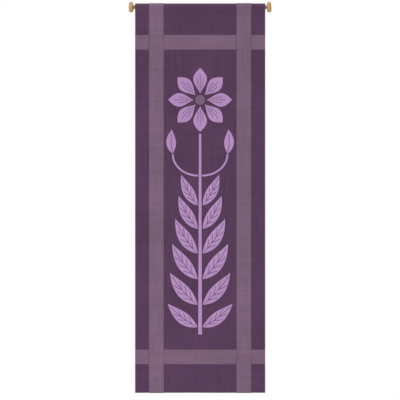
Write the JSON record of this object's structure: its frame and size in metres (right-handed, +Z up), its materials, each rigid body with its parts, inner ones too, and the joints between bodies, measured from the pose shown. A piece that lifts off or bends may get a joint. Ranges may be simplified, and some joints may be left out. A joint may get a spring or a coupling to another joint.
{
  "type": "hanging ceremonial cloth banner with wooden pole",
  "caption": "Tall, narrow cloth banner that hangs from a wooden pole with turned end caps; sewn-on bands, and a flower on a leafy stem.",
  "frame": {"origin": "on the pole's axis, halfway between its ends", "axes": "+Z up, +X along the pole to the right of someone who faces the banner, and the banner's front faces -Y"},
  "size_m": [0.6706, 0.0506, 1.8353],
  "materials": {
    "banner_cloth": "plum woven cloth, matt",
    "band_cloth": "mauve woven cloth, matt",
    "motif_cloth": "lilac woven cloth, slight sheen",
    "turned_wood": "light wood, clear satin varnish"
  },
  "bodies": {
    "root": {"pole": "turned_wood", "cap_left": "turned_wood", "cap_right": "turned_wood", "banner_cloth": "banner_cloth", "upright_band_left": "band_cloth", "upright_band_right": "band_cloth", "upper_band_left": "band_cloth", "upper_band_middle": "band_cloth", "upper_band_right": "band_cloth", "lower_band_left": "band_cloth", "lower_band_middle": "band_cloth", "lower_band_right": "band_cloth", "flower_eye": "band_cloth", "petal_1": "motif_cloth", "petal_2": "motif_cloth", "petal_3": "motif_cloth", "petal_4": "motif_cloth", "petal_5": "motif_cloth", "petal_6": "motif_cloth", "petal_7": "motif_cloth", "petal_8": "motif_cloth", "stem": "motif_cloth", "shoot_left": "motif_cloth", "shoot_right": "motif_cloth", "bud_left": "motif_cloth", "bud_right": "motif_cloth", "leaf_left_1": "motif_cloth", "leaf_left_2": "motif_cloth", "leaf_left_3": "motif_cloth", "leaf_left_4": "motif_cloth", "leaf_left_5": "motif_cloth", "leaf_left_6": "motif_cloth", "leaf_right_1": "motif_cloth", "leaf_right_2": "motif_cloth", "leaf_right_3": "motif_cloth", "leaf_right_4": "motif_cloth", "leaf_right_5": "motif_cloth", "leaf_right_6": "motif_cloth"}
  },
  "joints": []
}
